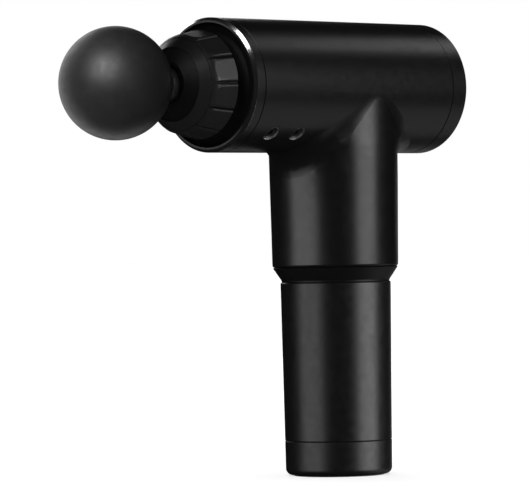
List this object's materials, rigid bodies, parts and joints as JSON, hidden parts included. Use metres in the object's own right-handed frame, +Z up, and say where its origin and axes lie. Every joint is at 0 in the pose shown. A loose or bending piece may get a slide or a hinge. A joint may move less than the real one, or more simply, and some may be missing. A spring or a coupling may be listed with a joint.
{
  "type": "massage gun",
  "caption": "T-shaped percussion massage gun: cylindrical barrel on a tapered battery grip, lobed nose ring and a reciprocating push-fit ball head.",
  "frame": {"origin": "centre of the grip's bottom face, where the gun stands on its foot pad", "axes": "+Z up the handle, the barrel along X at 177 mm, the ball head towards -X"},
  "size_m": [0.223, 0.06, 0.207],
  "materials": {
    "black_anodised": "satin black anodised",
    "trim_ring": "black anodised with a polished bright chamfer",
    "grip_black": "satin black, soft-touch coated",
    "cap_black": "fine texture",
    "collar_black": "smooth satin",
    "foot_rubber": "matte",
    "nose_black": "fine texture",
    "lobed_grey": "soft-touch",
    "seal_rubber": "matte",
    "bush_bronze": "turned",
    "chassis_nylon": "glass-filled nylon",
    "damper_rubber": "matte",
    "screw_black": "black oxide",
    "screw_steel": "zinc plated",
    "motor_aluminium": "machined",
    "bearing_steel": "ground",
    "electrical_steel": "laminated",
    "copper": "enamelled wire",
    "rotor_steel": "plated",
    "magnet": "nickel plated",
    "shaft_steel": "ground",
    "piston_steel": "hard anodised, polished",
    "yoke_aluminium": "machined",
    "liner_steel": "hardened",
    "ball_foam": "matte dense foam",
    "core_plastic": "moulded",
    "cell_wrap": "shrink-wrapped",
    "holder_plastic": "moulded",
    "nickel": "strip",
    "circuit_board": "solder mask",
    "component_black": "moulded",
    "lead_insulation": "silicone",
    "switch_plastic": "moulded",
    "contact_brass": "plated",
    "panel_glass": "smoked, polished",
    "window_clear": "frosted",
    "button_black": "satin",
    "rocker_black": "satin"
  },
  "bodies": {
    "housing": {"barrel_shell": "black_anodised", "front_trim_ring": "trim_ring", "rear_cap": "black_anodised", "tapered_collar": "collar_black", "collar_screws": "screw_steel", "grip_sleeve": "grip_black", "bottom_cap": "cap_black", "foot_pad": "foot_rubber", "bottom_screws": "screw_steel", "nose_base": "nose_black", "nose_screws": "screw_steel", "lobed_ring": "lobed_grey", "nose_cap": "nose_black", "wiper_seal": "seal_rubber", "guide_bush": "bush_bronze", "chassis_left": "chassis_nylon", "chassis_right": "chassis_nylon", "chassis_screws": "screw_black", "damper_pads": "damper_rubber", "motor_plate": "motor_aluminium", "motor_plate_screws": "screw_steel", "motor_bearings": "bearing_steel", "stator_core": "electrical_steel", "stator_windings": "copper", "battery_cell_1": "cell_wrap", "battery_cell_2": "cell_wrap", "battery_cell_3": "cell_wrap", "cell_holder_bottom": "holder_plastic", "cell_holder_top": "holder_plastic", "nickel_strips": "nickel", "protection_board": "circuit_board", "control_board": "circuit_board", "bulk_capacitors": "component_black", "heatsink": "motor_aluminium", "power_transistors": "component_black", "internal_leads": "lead_insulation", "switch_body": "switch_plastic", "charging_jack": "switch_plastic", "jack_pin": "contact_brass", "rear_panel": "panel_glass", "indicator_windows": "window_clear", "rear_board": "circuit_board", "rear_board_screws": "screw_steel", "indicator_leds": "window_clear", "tact_switch": "component_black"},
    "crankshaft": {"rotor_bell": "rotor_steel", "rotor_magnets": "magnet", "motor_shaft": "shaft_steel", "crank_disc": "rotor_steel", "crank_pin": "shaft_steel", "crank_bearing": "bearing_steel"},
    "piston_assembly": {"piston": "piston_steel", "yoke": "yoke_aluminium", "yoke_liners": "liner_steel", "yoke_pin": "shaft_steel"},
    "massage_head": {"head_ball": "ball_foam", "head_core": "core_plastic", "head_o_rings": "seal_rubber"},
    "button": {"power_button": "button_black"},
    "rocker": {"power_switch": "rocker_black"}
  },
  "joints": [
    {"name": "crank_turn", "type": "hinge", "parent": "housing", "child": "crankshaft", "pos_m": [0.016, 0, 0.177], "axis": [0, 1, 0], "range_deg": [0, 180]},
    {"name": "piston_stroke", "type": "slide", "parent": "housing", "child": "piston_assembly", "axis": [-1, 0, 0], "range_m": [0, 0.01]},
    {"name": "head_pull", "type": "slide", "parent": "piston_assembly", "child": "massage_head", "axis": [-1, 0, 0], "range_m": [0, 0.036]},
    {"name": "button_press", "type": "slide", "parent": "housing", "child": "button", "axis": [-1, 0, 0], "range_m": [0, 0.0008], "stiffness_N_per_m": 400, "springref_m": -0.002},
    {"name": "switch_rock", "type": "hinge", "parent": "housing", "child": "rocker", "pos_m": [-0.008, 0, 0.0052], "axis": [-1, 0, 0], "range_deg": [0, 14]}
  ],
  "couplings": [
    {"joint": "piston_stroke", "follows": "crank_turn", "m_per_rad": 0.003183}
  ]
}
